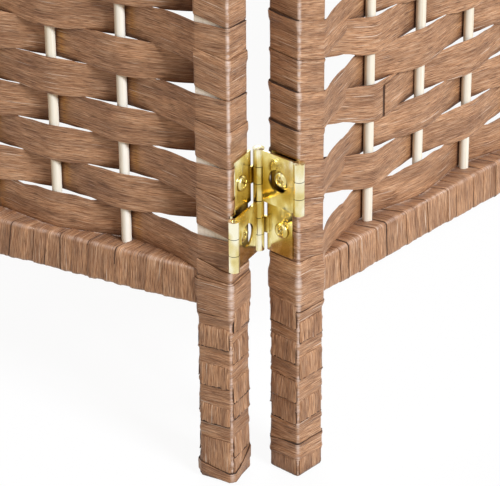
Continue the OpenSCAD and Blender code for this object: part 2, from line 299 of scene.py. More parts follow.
class Ribbons:
    """Gathers strips of ribbon and makes them one mesh."""

    def __init__(self):
        self.co, self.uv, self.tint, self.quads, self.caps, self.n = [], [], [], [], [], 0

    def strip(self, mid, out, across, half, lift, cols, start=0.0, thick=RIBBON_T,
              hidden=False, slide=0.0, wear=0.0, warm=0.0):
        """Adds a strip. mid is (n, 3), out and across (n, 3) or (3,), half (n,) and
        lift (n, c) or one number. hidden is for a strip whose inner side is never
        seen, slide (n, c, 3) moves its points, and the last two (n,) paint light on
        it: a pale highlight along corners and warm light beside dowels."""
        n = len(mid)
        out, across = (np.broadcast_to(v, (n, 3)) for v in (out, across))
        offset = np.broadcast_to(half, n)[:, None] * cols
        side = mid[:, None, :] + across[:, None, :] * offset[..., None] + slide
        # half the thickness at each column: the edges are rounded off
        part = np.select([np.abs(cols) > 0.97, np.abs(cols) > 0.9], [0.12, 0.42], 0.5)
        top = side + out[:, None, :] * (lift + thick * part)[..., None]
        low = side + out[:, None, :] * (lift - thick * part)[..., None]
        keep = np.arange(len(cols))
        if hidden:
            keep = np.linspace(0, len(cols) - 1, 5).round().astype(int)
        loop = np.concatenate([top, low[:, keep[::-1]]], 1)
        k = loop.shape[1]
        step = np.linalg.norm(np.diff(mid, axis=0), axis=1)
        along = start + np.concatenate([[0], np.cumsum(step)]) * MM
        u = offset * MM
        u = np.concatenate([u, u[:, keep[::-1]]], 1)
        uv = np.stack([u, np.repeat(along[:, None], k, 1)], 2)
        tint = np.stack([np.broadcast_to(v, n) for v in (wear, warm)], 1)
        i = np.arange(n - 1)[:, None] * k
        j = np.arange(k)[None, :]
        nxt = (j + 1) % k
        quads = np.stack([i + j, i + k + j, i + k + nxt, i + nxt], 2).reshape(-1, 4) + self.n
        caps = [np.arange(k)[::-1] + self.n, np.arange(k) + (n - 1) * k + self.n]
        m = n // 2
        run = mid[min(m + 1, n - 1)] - mid[m - 1]
        if np.dot(np.cross(run, across[m]), out[m]) < 0:
            quads, caps = quads[:, ::-1], [c[::-1] for c in caps]
        self.co.append(loop.reshape(-1, 3))
        self.uv.append(uv.reshape(-1, 2))
        self.tint.append(np.repeat(tint[:, None, :], k, 1).reshape(-1, 2))
        self.quads.append(quads)
        self.caps += caps
        self.n += n * k

    def take(self, other):
        """Adds the strips of another set."""
        for part in ("co", "uv", "tint"):
            getattr(self, part).extend(getattr(other, part))
        self.quads += [q + self.n for q in other.quads]
        self.caps += [c + self.n for c in other.caps]
        self.n += other.n

    def make(self, name, panel, mirror, mat=RIBBON):
        """Makes the mesh. mirror swaps the panel's front and back."""
        co = np.concatenate(self.co)
        quads = np.concatenate(self.quads)
        caps = self.caps
        if mirror:
            co = co * np.array([1, -1, 1])
            quads = quads[:, ::-1]
            caps = [c[::-1] for c in caps]
        co = place(panel, co)
        me = bpy.data.meshes.new(name)
        loops = np.concatenate([quads.ravel()] + caps)
        sizes = np.concatenate([np.full(len(quads), 4), [len(c) for c in caps]]).astype(np.int32)
        starts = np.concatenate([[0], np.cumsum(sizes)[:-1]]).astype(np.int32)
        me.vertices.add(len(co))
        me.vertices.foreach_set("co", co.astype(np.float32).ravel())
        me.loops.add(len(loops))
        me.loops.foreach_set("vertex_index", loops.astype(np.int32))
        me.polygons.add(len(sizes))
        me.polygons.foreach_set("loop_start", starts)
        me.polygons.foreach_set("loop_total", sizes)
        # the shade map holds each point's painted highlight and painted warm light
        for key, values in (("along", self.uv), ("shade", self.tint)):
            layer = me.uv_layers.new(name=key)
            layer.data.foreach_set("uv", np.concatenate(values)[loops].astype(np.float32).ravel())
        me.update(calc_edges=True)
        me.shade_smooth()
        me.set_sharp_from_angle(angle=SHARP)
        obj = add_object(name, me)
        me.materials.append(mat)
        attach(obj, f"panel_{panel}")
        return obj


def creases(rng, s, cols, half, count, depth, width=1.3):
    """Lengthwise folds that wander and come and go, as lift over (s, cols)."""
    lift = np.zeros((len(s), len(cols)))
    across = half[:, None] * cols
    for _ in range(count):
        at = rng.uniform(-8.5, 8.5) + drift(rng, s, 60, 2.2)
        size = drift(rng, s, 28, depth)
        w = width * rng.uniform(0.6, 1.5)
        lift += size[:, None] * np.exp(-((across - at[:, None]) / w) ** 2)
    return lift


def shade_strip(bag, mid, out, across, half, lift):
    """A thin line of painted shade where an edge of ribbon stands off what is under it."""
    bag.strip(mid, out, across, half, np.reshape(lift, (-1, 1)), np.array([-1.0, 0.0, 1.0]),
              thick=0.12)


def stretches(mask, least):
    """The stretches of at least `least` samples where mask holds: their samples,
    and a swell over them that is 1 in the middle and near 0 at both ends."""
    ends = np.flatnonzero(np.diff(np.concatenate([[0], mask.astype(int), [0]])))
    for a, b in ends.reshape(-1, 2):
        if b - a >= least:
            yield np.arange(a, b), np.sin(np.pi * (np.arange(b - a) + 0.5) / (b - a)) ** 0.5


# ---------- windings


SIDE_STEPS, BEND_STEPS = 4, 4   # samples along each side and round each corner


def ring(a, b, radius):
    """One turn round a bar with half sizes a and b. It starts in the middle of
    the side at +b and goes towards +a. Gives places, outward directions, the
    share of the turn at each, and the length of the turn."""
    pts, outs = [], []
    for q in range(4):
        long, off = (a, b) if q % 2 == 0 else (b, a)
        long -= radius
        row = [(x, off, 0.0, 1.0) for x in np.linspace(-long, long, SIDE_STEPS + 1)]
        for j in range(1, BEND_STEPS):
            t = j * pi / 2 / BEND_STEPS
            row.append((long + radius * sin(t), off - radius + radius * cos(t), sin(t), cos(t)))
        c, s = cos(-q * pi / 2), sin(-q * pi / 2)
        for x, y, nx, ny in row:
            pts.append((x * c - y * s, x * s + y * c))
            outs.append((nx * c - ny * s, nx * s + ny * c))
    pts, outs = (np.roll(np.array(v), -SIDE_STEPS // 2, 0) for v in (pts, outs))
    step = np.linalg.norm(np.diff(np.vstack([pts, pts[:1]]), axis=0), axis=1)
    share = np.concatenate([[0], np.cumsum(step)[:-1]]) / step.sum()
    return pts, outs, share, step.sum()


def at_corner(outs):
    """1 in the middle of a corner's bend, for the painted highlight along corners."""
    return np.abs(outs).min(1) / sqrt(0.5)


RING_GAP = 0.05                # from the timber to the winding's surface
RING_OUT, CORNER_R = CORE / 2 + RING_GAP, 0.9
STILE_RING = ring(RING_OUT, RING_OUT, CORNER_R)
STILE_ROUND = 70               # about the length of a turn
TURN = len(STILE_RING[0])      # samples in a turn
HALF_TURN = TURN // 2
INNER_I = TURN * 3 // 4        # the middle of the face towards the weave
AT_CORNER = at_corner(STILE_RING[1])


class Bed:
    """What a winding lies on: its height over the timber, at each sample of the
    turn and along the bar. Each turn that is laid raises it."""
    CELL = 0.25    # step along the bar
    LOW = -15      # where it starts and how far it goes past the bar's other end
    REACH = 10     # cells past a ribbon's edge that what lies there can lift it from

    def __init__(self, length):
        self.h = np.zeros((TURN, int((length - 2 * self.LOW) / self.CELL) + 2))

    def cell(self, z):
        return int((z - self.LOW) / self.CELL)

    def lay(self, i, centre, half, cols, slack=0.12, slope=0.38, lip=0.0, thick=RIBBON_T):
        """Lays a ribbon's width at sample i and gives its lift at each column.
        lip raises its upper edge."""
        a, b = self.cell(centre - half), self.cell(centre + half) + 1
        base = self.h[i % TURN, a - self.REACH:b + self.REACH]
        env = base.copy()
        for k in range(1, self.REACH):
            drop = slope * self.CELL * k
            env[k:] = np.maximum(env[k:], base[:-k] - drop)
            env[:-k] = np.maximum(env[:-k], base[k:] - drop)
        env = np.convolve(env, [0.1, 0.2, 0.4, 0.2, 0.1], "same")[self.REACH:-self.REACH] + slack
        z = self.LOW + (np.arange(a, b) + 0.5) * self.CELL
        env += lip * ease(0.60, 1.0, (z - centre) / half)
        self.h[i % TURN, a:b] = env + thick
        return np.interp(centre + half * cols, z, env) + thick / 2

    def lay_all(self, index, centre, half, *how, **more):
        """Lays a strip, sample by sample."""
        return np.array([self.lay(*at, *how, **more) for at in zip(index, centre, half)])

    def raise_face(self, face, z, height):
        """Raises it over one face of a stile to what lies there from z[0] to z[-1]."""
        a, b = self.cell(z[0]), self.cell(z[-1])
        level = np.interp(np.arange(a, b), np.linspace(a, b, len(z)), height)
        for k in range(-2, 3):
            i = (face * TURN // 4 + k) % TURN
            self.h[i, a:b] = np.maximum(self.h[i, a:b], level)


def on_stile(index, side):
    """Place in plan, outward direction and turns done, of samples round a stile."""
    pts, outs, share, _ = STILE_RING
    i = np.asarray(index)
    xy, out = pts[i % TURN].copy(), outs[i % TURN].copy()
    if side == "left":
        xy[:, 0] *= -1
        out[:, 0] *= -1
    xy[:, 0] += STILE_X[side]
    return xy, out, np.floor(i / TURN) + share[i % TURN]


def flat(v2):
    return np.concatenate([v2, np.zeros((len(v2), 1))], 1)


def add_wound(bag, side, index, z, half, lift, cols, start, thick=RIBBON_T, wear=1.0):
    """Adds a strip that goes round a stile."""
    xy, out, _ = on_stile(index, side)
    # with a painted highlight along its corners
    bag.strip(np.column_stack([xy, z]), flat(out), UP, half, lift, cols, start, thick, True,
              wear=wear * AT_CORNER[index % TURN])


def wind_stile(bag, rng, bed, side, first, last, knots, half, cols):
    """Winds a strip of its own round a stile. knots are (turn, height)."""
    start = anywhere(rng)
    index = np.arange(first, last + 1)
    z = np.interp(on_stile(index, side)[2], *zip(*knots))
    s = np.arange(len(index)) * 2.2
    halves = half + drift(rng, s, 40, 0.2)
    z = z + drift(rng, s, 30, 0.15)
    lift = bed.lay_all(index, z, halves, cols)
    lift += np.abs(creases(rng, s, cols, halves, 4, 0.05))
    add_wound(bag, side, index, z, halves, lift, cols, start)


# ---------- the weave

step = np.arange(13)
SPAN_SHARE = 0.45 * 0.5 * (1 - np.cos(np.pi * step / 12)) + 0.55 * step / 12
EDGE_SHARE = 0.35 * np.sin(0.5 * np.pi * step / 12) + 0.65 * step / 12
CREST = 0.9         # how straight a row runs between dowels: 1 would be a zigzag
LEAVE_POW = 1.476   # how soon a row swings out between a stile and the first dowel
LEAVE_I = 3         # samples from the middle of a stile's face to where a row leaves it
LEAVE_ANGLE = pi / 2 / BEND_STEPS    # the corner's bend up to there
START_I = -2 * TURN - TURN // 4      # the ribbon starts where the rail meets the stile

# Height of the winding on a stile, relative to the row that it leaves as. It
# arrives over the back face, goes once and a half round, and leaves over the
# front. The second list is for panels that are turned round, which are wound
# more steeply and show no timber on that face.
KNOT_T = [-0.125, 0.125, 0.375, 0.625, 0.875, 1.125, 1.375, 1.625]
KNOT_Z = {False: [-18.0, -17.9, -16.4, -12.4, -8.0, -2.4, -0.4, 0.0],
          True: [-22.0, -17.0, -16.0, -11.0, -5.4, -0.8, 0.4, 7.0]}
# Half width of the ribbon there, and what it gains before it leaves
WINDING_HALF = {False: (9.7, 0.45), True: (10.0, 0.1)}
# The ribbon's first turns, under the first row, and strips of their own at the
# foot of the left stile and at both tops
FIRST_T, FIRST_Z = [-2.25, -1.25, -0.6, 0.375], [103.2, 103.4, 104.0, 109.5]
LOW_KNOTS = [(-2.25, 103.2), (-1.2, 103.6), (-0.4, 107.0), (0, 112.6), (0.5, 113.0), (0.75, 108.8)]
TOP_KNOTS = [(0.5, 1685.5), (1.3, 1690.2), (9, 1690.2)]


def row_plan(row):
    """Plan of a row between the stiles, in the order that it is woven. Even rows
    start at the right stile, over its front, and end behind the left one."""
    # worked out as if every row ran from x = 0, then turned round
    corner_x = STILE_W / 2 + RING_OUT - CORNER_R + CORNER_R * sin(LEAVE_ANGLE)
    corner_y = RING_OUT - CORNER_R + CORNER_R * cos(LEAVE_ANGLE)
    x, y = [], []
    side = 1.0          # behind the first dowel, since it leaves over the front
    for u in EDGE_SHARE[1:]:
        x.append(corner_x + (DOWEL_X[0] - corner_x) * u)
        y.append(side * WEAVE_OFF - (WEAVE_OFF + corner_y) * (1 - u) ** LEAVE_POW)
    for here, there in zip(DOWEL_X, DOWEL_X[1:]):
        for u in SPAN_SHARE[1:]:
            x.append(here + (there - here) * u)
            turn = asin(CREST * cos(pi * u)) / asin(CREST)
            y.append(side * WEAVE_OFF * turn)
        side = -side
    for u in EDGE_SHARE[::-1][1:]:
        x.append(PANEL_W - corner_x - (PANEL_W - corner_x - DOWEL_X[-1]) * u)
        y.append(side * WEAVE_OFF - side * (WEAVE_OFF + corner_y) * (1 - u) ** LEAVE_POW)
    plan = np.stack([x[:-1], y[:-1]], 1)
    if row % 2 == 0:
        plan[:, 0] = PANEL_W - plan[:, 0]
    return plan


def row_z(row):
    """Height of a row. Those just over the bottom rail are beaten down less."""
    r = np.asarray(row, float)
    shift = np.interp(r, [-1, 0, 1, 2, 4, 7], [-0.5, -0.5, 1.5, 1.7, 1.6, 1.9])
    return FIELD_Z + (r + 0.5) * ROW_STEP + shift * (1 - ease(12, 40, r))


def field_path(mirror):
    """The panel's whole ribbon, sample by sample: place in plan, height, outward
    or leftward direction, half width, stile (0 none, 1 right, 2 left), place in
    the turn, row, which way lift counts, and nearness to a stile on the way."""
    cols = {k: [] for k in ("xy", "z", "left", "half", "stile", "index", "row", "sign", "edge")}
    knots = KNOT_Z[mirror]
    wide, gain = WINDING_HALF[mirror]
    for row in range(ROWS):
        side, far, lead = ("right", "left", 1.0) if row % 2 == 0 else ("left", "right", -1.0)
        before, z, after = (float(row_z(r)) for r in (row - 1, row, row + 1))
        index = np.arange(START_I if row == 0 else 0, TURN + HALF_TURN + LEAVE_I + 1)
        xy, out, t = on_stile(index, side)
        zw = z + np.interp(t, KNOT_T, knots) + (before + ROW_STEP - z) * (1 - ease(-0.125, 1.0, t))
        if row == 0:
            zw = np.interp(t, FIRST_T + KNOT_T[3:], FIRST_Z + [z + k for k in knots[3:]])
        half = wide + gain * ease(1.15, 1.4, t) + 0.25 * (1 - ease(0.375, 0.5, t))
        plan = row_plan(row)
        tan = np.gradient(np.concatenate([xy[-1:], plan]), axis=0)[1:]
        tan /= np.linalg.norm(tan, axis=1)[:, None]
        u = np.linspace(0, 1, len(plan))
        # the way across: heights at both ends ease to the row's own
        end = knots[0] + ROW_STEP
        zp = z + (zw[-1] - z) * (1 - ease(0, 0.115, u)) + end * ease(0.885, 1, u)
        off = np.clip(np.abs(plan[:, 1]) / WEAVE_OFF, 0, 1)
        hp = 8.75 + 0.40 * ease(3, 6, row) + (0.80 + 0.18 * ease(1, 5, row)) * ease(0, 0.62, off)
        # the last one goes on round the stile, to its inner face
        far_index = np.arange(-LEAVE_I, INNER_I + 1 if row == ROWS - 1 else 0)
        far_xy, far_out, far_t = on_stile(far_index, far)
        zf = after + np.interp(far_t, KNOT_T, knots) + (z + ROW_STEP - after)
        n = (len(index), len(plan), len(far_index))
        cols["xy"] += [xy, plan, far_xy]
        cols["z"] += [zw, zp, zf]
        cols["left"] += [out * lead, np.stack([-tan[:, 1], tan[:, 0]], 1), -far_out * lead]
        cols["half"] += [half, hp, np.full(n[2], wide + 0.25)]
        cols["stile"] += [np.repeat([1, 0, 2] if side == "right" else [2, 0, 1], n)]
        cols["index"] += [index, np.zeros(n[1], int), far_index]
        cols["row"] += [np.full(sum(n), row)]
        cols["sign"] += [np.repeat([lead, 0.0, -lead], n)]
        cols["edge"] += [np.zeros(n[0]), np.minimum(u, 1 - u), np.zeros(n[2])]
    return {k: np.concatenate(v) for k, v in cols.items()}


# Rows of each of a panel's four meshes. The photo shows the first ones, so on
# its two panels they keep every column.
ROW_GROUPS = [(0, 11), (11, 36), (36, 62), (62, ROWS)]
FIELD_COLS = column_set(13)
FEWER_COLS = np.array([0, 1, 2, 4, 6, 8, 10, 11, 12])
PHOTO_EDGES = (212.9, 193.2)   # proud edges that the photo shows over the hinge


def field_lift(p, s, z, half, proud, bulge, beds):
    """Lays the ribbon on the stiles, last turn first, and gives its lift at each
    column. Between stiles it eases to nothing."""
    n, free = len(z), p["stile"] == 0
    lift = np.zeros((n, len(FIELD_COLS)))
    for j in np.flatnonzero(~free)[::-1]:
        bed = beds["right" if p["stile"][j] == 1 else "left"]
        lift[j] = p["sign"][j] * bed.lay(p["index"][j], z[j], half[j], FIELD_COLS, bulge[j],
                                         lip=0.75 * proud[j])
    on = np.flatnonzero(~free)
    where = np.searchsorted(on, np.flatnonzero(free))
    prev, following = (on[np.clip(v, 0, len(on) - 1)] for v in (where - 1, where))
    lift[free] = ((1 - ease(0, 14, s[free] - s[prev]))[:, None] * lift[prev]
                  + (1 - ease(0, 14, s[following] - s[free]))[:, None] * lift[following])
    return lift


def build_field(panel):
    """All rows of a panel as one ribbon that is wound round each stile in turn.
    Gives its lines of painted shade, which the rails add to."""
    mirror = panel in MIRRORED
    rng = np.random.default_rng(4100 + panel)
    beds = {s: Bed(PANEL_H) for s in ("left", "right")}
    top, dark = Ribbons(), Ribbons()
    for side in beds:
        knots = [(-0.1, row_z(ROWS - 1) + 5)] + TOP_KNOTS
        wind_stile(top, rng, beds[side], side, 0, 2 * TURN + HALF_TURN, knots, 9.5, column_set(9))
    p = field_path(mirror)
    xy, row, i = p["xy"], p["row"], p["index"] % TURN
    n, free = len(xy), p["stile"] == 0
    way = np.linalg.norm(np.diff(np.column_stack([xy, p["z"]]), axis=0), axis=1)
    s = np.concatenate([[0], np.cumsum(way)])
    half = p["half"] + drift(rng, s, 35, 0.22)
    z = p["z"] + drift(rng, s, 45, 0.25)
    # the first and last rows stay clear of the rails, but for their ends
    clear = half + 0.3 - 3.0 * (1 - ease(0, 0.1, p["edge"]))
    z = np.where(free & (row == 0), np.maximum(z, FIELD_Z + clear), z)
    z = np.where(free & (row == ROWS - 1), np.minimum(z, TOP_RAIL_Z - clear), z)

    # edges that stand proud, on the outer face of the stile
    share = STILE_RING[2][i]
    face = ease(0.11, 0.15, share) * (1 - ease(0.35, 0.39, share)) * ~free
    proud = np.clip(drift(rng, s, 26, 1.0) - 0.35, 0, 1.2) * face
    if panel == 3:
        for edge_z in PHOTO_EDGES:
            at = (p["stile"] == 2) & (np.abs(z + half - edge_z) < 5)
            proud = np.where(at, np.maximum(proud, 1.1 * face), proud)
    bulge = 0.12 + np.abs(drift(rng, s, 12, 0.04))
    lift = field_lift(p, s, z, half, proud, bulge, beds)
    fold = creases(rng, s, FIELD_COLS, half, 6, 0.055)
    fold += 0.06 * drift(rng, s, 60, 1.0)[:, None] * FIELD_COLS
    sign = p["sign"][:, None]
    lift += np.where(sign == 0, fold, sign * np.abs(fold))

    # painted warm light beside a dowel that the ribbon passes behind, for light that the dowel
    # casts onto it
    warm = np.zeros(n)
    toward, depth = (1.0, 1.0) if panel <= 2 else (-1.0, 0.25)
    behind = free & ((xy[:, 1] * (-1 if mirror else 1)) > 0.2)
    for x in DOWEL_X:
        warm += depth * np.exp(-((xy[:, 0] - x - toward * 4.8) / 2.7) ** 2) * behind
    # only the two corners away from the weave get the painted highlight, a pale line along them
    wear = AT_CORNER[i] * (share < 0.5) * ~free

    mid = np.column_stack([xy, z])
    out = flat(p["left"])
    for number, (r0, r1) in enumerate(ROW_GROUPS):
        bag = Ribbons()
        use = np.flatnonzero((row >= r0) & (row < r1))
        use = np.arange(use[0], min(use[-1] + 2, n))
        pick = np.arange(13) if number == 0 and panel in PHOTO_PANELS else FEWER_COLS
        bag.strip(mid[use], out[use], UP, half[use], lift[np.ix_(use, pick)],
                  FIELD_COLS[pick], s[use[0]] * MM, wear=wear[use], warm=np.minimum(warm[use], 1))
        if number == 0:
            wind_stile(bag, rng, beds["left"], "left", START_I, INNER_I, LOW_KNOTS, 9.6,
                       column_set(11))
        if number == 3:
            bag.take(top)
        obj = bag.make(f"panel_{panel}_ribbon_{number + 1}", panel, mirror)
        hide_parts(f"panel_{panel}_weave", f"panel_{panel}_stile_wraps")

    if panel == 3:
        add_cut_end(rng, p, mid, dark)
    # lines of painted shade over the proud edges
    for j, swell in stretches(proud > 0.25, 4):
        m = mid[j]
        m[:, 2] = z[j] + half[j] + 0.12
        size = swell * np.minimum(proud[j], 0.8)
        shade_strip(dark, m, flat(p["left"][j] * p["sign"][j][:, None]), UP, 0.15 + 0.60 * size,
              np.abs(lift[j, -1]) - 0.20)
    add_shade_sheets(dark, mirror)
    for side in ("left", "right"):
        build_leg(panel, side, beds[side], mirror, dark)
    return dark


def add_shade_sheets(bag, mirror):
    """Dark strips of painted shade on the faces of the stiles, where no timber may show."""
    off = CORE / 2 + 0.12
    for side, way in (("left", -1.0), ("right", 1.0)):
        for ends in ((1.5, 850), (850, 1698.5)):
            for out, across in ((way * RIGHT, BACK), (BACK, RIGHT))[:2 if mirror else 1]:
                m = STILE_X[side] * RIGHT + off * out + np.outer(ends, UP)
                bag.strip(m, out, across, 8.6, 0.0, np.array([-1.0, 1.0]), thick=0.1)


def add_cut_end(rng, p, mid, dark):
    """Where one length of ribbon ends in row 3 and the next is laid over it."""
    x = p["xy"][:, 0]
    use = np.flatnonzero((p["row"] == 3) & (p["stile"] == 0) & (x > 70) & (x < 112))
    m = mid[use[np.argsort(x[use])]]
    cut_x = 71.6
    m[0] += (m[1] - m[0]) * (cut_x - m[0, 0]) / (m[1, 0] - m[0, 0])
    s = m[:, 0]
    m[:, 2] -= 1.6 * (1 - ease(80, 110, s))
    cols = column_set(13)
    half = 8.6 + 0.8 * ease(75, 105, s)
    lift = 0.62 + 0.10 * (1 - ease(74, 80, s))[:, None]
    lift = lift + np.abs(creases(rng, s, cols, half, 5, 0.06)) - 0.45 * ease(100, 112, s)[:, None]
    bag = Ribbons()
    bag.strip(m, BACK, UP, half, lift, cols, 0.3)
    obj = bag.make("panel_3_ribbon_joint", 3, True)
    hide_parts("panel_3_weave")
    # a line of painted shade along its frayed edge
    line = np.repeat(m[:1], 5, 0)
    line[:, 0] -= 0.35 + np.array([0.1, 0.0, -0.05, 0.1, 0.35])
    line[:, 2] += np.linspace(8.2, -8.2, 5)
    shade_strip(dark, line, BACK, RIGHT, np.array([0.5, 0.8, 0.85, 0.7, 0.3]), 0.58)


# ---------- legs and rails

# The bands round a leg: their end, number, half width and thickness, the middle
# of the lowest one, and the step from one to the next
LEG_TOP, LEG_TURNS, LEG_HALF, LEG_THICK, LEG_FIRST = 94.5, 10, 5.65, 0.4, 5.0
LEG_STEP = (LEG_TOP - 5.2 - LEG_FIRST) / (LEG_TURNS - 1)
PATCH_COLS = column_set(19)

# Heights of the lower ends of the upright strips, on the real front and the
# outer face. The two legs at the middle fold are as the photo shows them.
PATCH_ENDS = {
    (2, "right"): ([76.8, 54.8, 33.2], [86.8, 69.0, 46.9, 37.6, 15.4]),
    (3, "left"): ([77.8, 57.0, 32.3], [85.7, 65.9, 43.6, 30.8]),
}
USUAL_ENDS = ((77, 56, 33, 15), (86, 67, 45, 25))
HIDDEN_ENDS = (78, 58, 38, 18)
# An upright strip's samples: share of its height, and rise over what is under it
PATCH_SHARE = np.array([1.10, 1.0, 0.9, 0.7, 0.45, 0.2, 0.06, 0.0])
PATCH_RISE = np.array([-0.25, 0.05, 0.2, 0.3, 0.35, 0.42, 0.5, 0.5])

# A last band round the foot, over its upright strips: place in the turn, upper
# edge, lower edge, and how wide the painted shade line over it is
SLANTED = ([0, 0.125, 0.25, 0.31, 0.375, 0.5, 0.625, 0.8, 1],
           [14.8, 14.6, 8.7, 6.6, 5.4, 7.1, 9.3, 12.0, 14.8],
           [8.0, 7.8, 2.6, 1.2, 0.6, 1.3, 2.8, 5.4, 8.0],
           [0.3, 0.3, 0.3, 0.5, 0.7, 0.3, 0.3, 0.3, 0.3])
LEVEL = ([0, 0.07, 0.125, 0.16, 0.22, 0.30, 0.375, 0.6, 0.8, 1],
         [19.5, 19.4, 19.1, 18.8, 18.7, 18.0, 17.0, 17.5, 19.0, 19.5],
         [10.8, 10.8, 10.8, 10.7, 10.5, 10.0, 9.4, 9.5, 10.3, 10.8],
         [0.3, 0.15, 0.9, 1.1, 0.6, 0.1, 0.1, 0.3, 0.3, 0.3])
FOOT_BANDS = {(2, "right"): SLANTED, (3, "left"): LEVEL}
# How far up two faces the strips round a stile's end reach
FOOT_TOPS = {(2, "right"): (24.0, 14.5), (3, "left"): (11.2, 11.0)}
USUAL_FOOT, HEAD_TOPS = (13.0, 14.5), (9.0, 9.0)


def build_leg(panel, side, bed, mirror, dark):
    """Bands of ribbon round the leg, woven through strips that run down it."""
    bag = Ribbons()
    rng = np.random.default_rng(700 + panel * 10 + (side == "right"))
    cols = column_set(11)
    index = np.arange(0, LEG_TURNS * TURN + 1) + INNER_I
    t = on_stile(index, side)[2]
    t = t - t[0]
    # the climb is on the inner face, so the bands lie level on the others
    turn = np.floor(t + 1e-9)
    part = t - turn
    climb = np.where(part < 0.5, ease(-0.125, 0.125, part) - 0.5, ease(0.875, 1.125, part) + 0.5)
    s = t * STILE_ROUND
    z = LEG_FIRST + LEG_STEP * (turn + climb - 0.5) + drift(rng, s, 30, 0.35)
    half = LEG_HALF + drift(rng, s, 30, 0.2)
    z = np.clip(z, half + 0.25, LEG_TOP + 1 - half)
    lift = bed.lay_all(index, z, half, cols, 0.05, thick=LEG_THICK)
    lift += np.abs(creases(rng, s, cols, half, 5, 0.07, 0.7))
    # 0.7: a softer painted highlight along its corners
    add_wound(bag, side, index, z, half, lift, cols, anywhere(rng), LEG_THICK, 0.7)
    ends = PATCH_ENDS.get((panel, side))
    if ends is None:
        shift = rng.uniform(-2, 2)
        ends = [[v + shift + rng.normal(0, 1) for v in lows] for lows in USUAL_ENDS]
    spare = [v + rng.normal(0, 1.5) for v in HIDDEN_ENDS]
    # faces of the turn: 0 back, 1 outer, 2 front, 3 inner, before any mirroring
    lists = {1: ends[1], 3: spare, 0: ends[0] if mirror else spare, 2: spare if mirror else ends[0]}
    laid = [add_patch(bag, dark, rng, bed, side, face, low, 10.5 + rng.normal(0, 0.7))
            for face, lows in lists.items() for low in lows]
    for patch in laid:
        bed.raise_face(*patch)
    add_end(bag, rng, side, FOOT_TOPS.get((panel, side), USUAL_FOOT), 0.95, bed)
    add_end(bag, rng, side, HEAD_TOPS, 0.30, None)
    band = FOOT_BANDS.get((panel, side), SLANTED if rng.random() < 0.4 else None)
    if band is not None:
        # it starts on the inner face, and goes a little more than once round
        index = np.arange(-2, TURN + 3) + INNER_I
        xy, out, t = on_stile(index, side)
        upper, lower, line = (np.interp(t % 1, band[0], v) for v in band[1:])
        z, half = (upper + lower) / 2, (upper - lower) / 2
        lift = bed.lay_all(index, z, half, cols, 0.05, thick=LEG_THICK)
        soft = np.pad(lift, ((2, 2), (0, 0)), mode="edge")
        lift = np.maximum(lift, sum(soft[k:k + len(lift)] for k in range(5)) / 5 - 0.1)
        lift += np.abs(creases(rng, t * STILE_ROUND, cols, half, 3, 0.07, 0.7))
        # 0.8: its painted highlight along the corners
        add_wound(bag, side, index, z, half, lift, cols, anywhere(rng), LEG_THICK, 0.8)
        # a line of painted shade over the band's upper edge
        j = np.arange(3, len(index) - 3)
        shade_strip(dark, np.column_stack([xy, upper + 0.5 * line])[j], flat(out[j]), UP,
              0.55 * line[j], lift[j, -1] - 0.12)
    obj = bag.make(f"panel_{panel}_{side}_leg_ribbon", panel, mirror)
    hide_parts(f"panel_{panel}_stile_wraps")


def face_frame(side, face):
    """Middle of a stile's face in plan, the way out of it and the way along it."""
    xy, out, _ = on_stile([face * TURN // 4], side)
    x, y = out[0]
    return xy[0], np.array([x, y, 0.0]), np.array([y, -x, 0.0])


def stand(centre, z):
    """Points over one place in plan."""
    return np.column_stack([np.tile(centre, (len(z), 1)), z])


def ridges(rng, depth):
    """Fine ups and downs across an upright strip, with three furrows."""
    ridge = rng.normal(0, 0.05, len(PATCH_COLS))
    ridge[rng.integers(2, len(PATCH_COLS) - 2, 3)] -= depth
    return ridge


def add_patch(bag, dark, rng, bed, side, face, low, height):
    """A stretch of a strip that runs down one face of the leg, over a band.
    Gives what it adds to the bed."""
    centre, out, run = face_frame(side, face)
    z = low + height * PATCH_SHARE
    ground = np.array([bed.h[face * TURN // 4, bed.cell(v)] for v in z])
    ground = np.convolve(np.pad(ground, 1, mode="edge"), [0.25, 0.5, 0.25], "valid")
    rise = ground.max() * 0.5 + ground * 0.5 + PATCH_RISE
    n, c = len(z), len(PATCH_COLS)
    half = 8.25 + rng.normal(0, 0.15)
    ridge = ridges(rng, 0.22)
    edge = 0.3 * ease(0.86, 1.0, np.abs(PATCH_COLS))
    lift = rise[:, None] + ridge * (0.7 + 0.3 * rng.random((n, 1))) - edge
    slide = np.zeros((n, c, 3))
    ragged = rng.normal(0, 0.35, c)
    slide[-1, :, 2] = ragged
    slide[-2, :, 2] = ragged * 0.7
    slide[0, :, 2] = rng.normal(0, 0.25, c)
    bag.strip(stand(centre, z), out, run, half, lift, PATCH_COLS, anywhere(rng), hidden=True,
              slide=slide)
    # lines of painted shadow under its lower end
    x = np.linspace(-half, half, 9)
    m = stand(centre, low - 0.15 + rng.normal(0, 0.12, 9)) + x[:, None] * run
    size = np.clip((0.42 if face == 1 else 0.30) + drift(rng, x, 6, 0.14), 0.12, 0.65)
    shade_strip(dark, m, out, UP, size, rise[-1] - 0.02)
    if face in (1, 2) and rng.random() < 0.7:
        # and by its side, just inside the corner
        m = stand(centre, low + height * np.array([0.05, 0.5, 0.85]))
        m += run * (half + 0.15) * (1 if face == 1 else -1)
        shade_strip(dark, m, out, run, np.array([0.22, 0.16, 0.05]), rise[-1] - 0.25)
    return face, z[::-1], rise[::-1] + RIBBON_T / 2


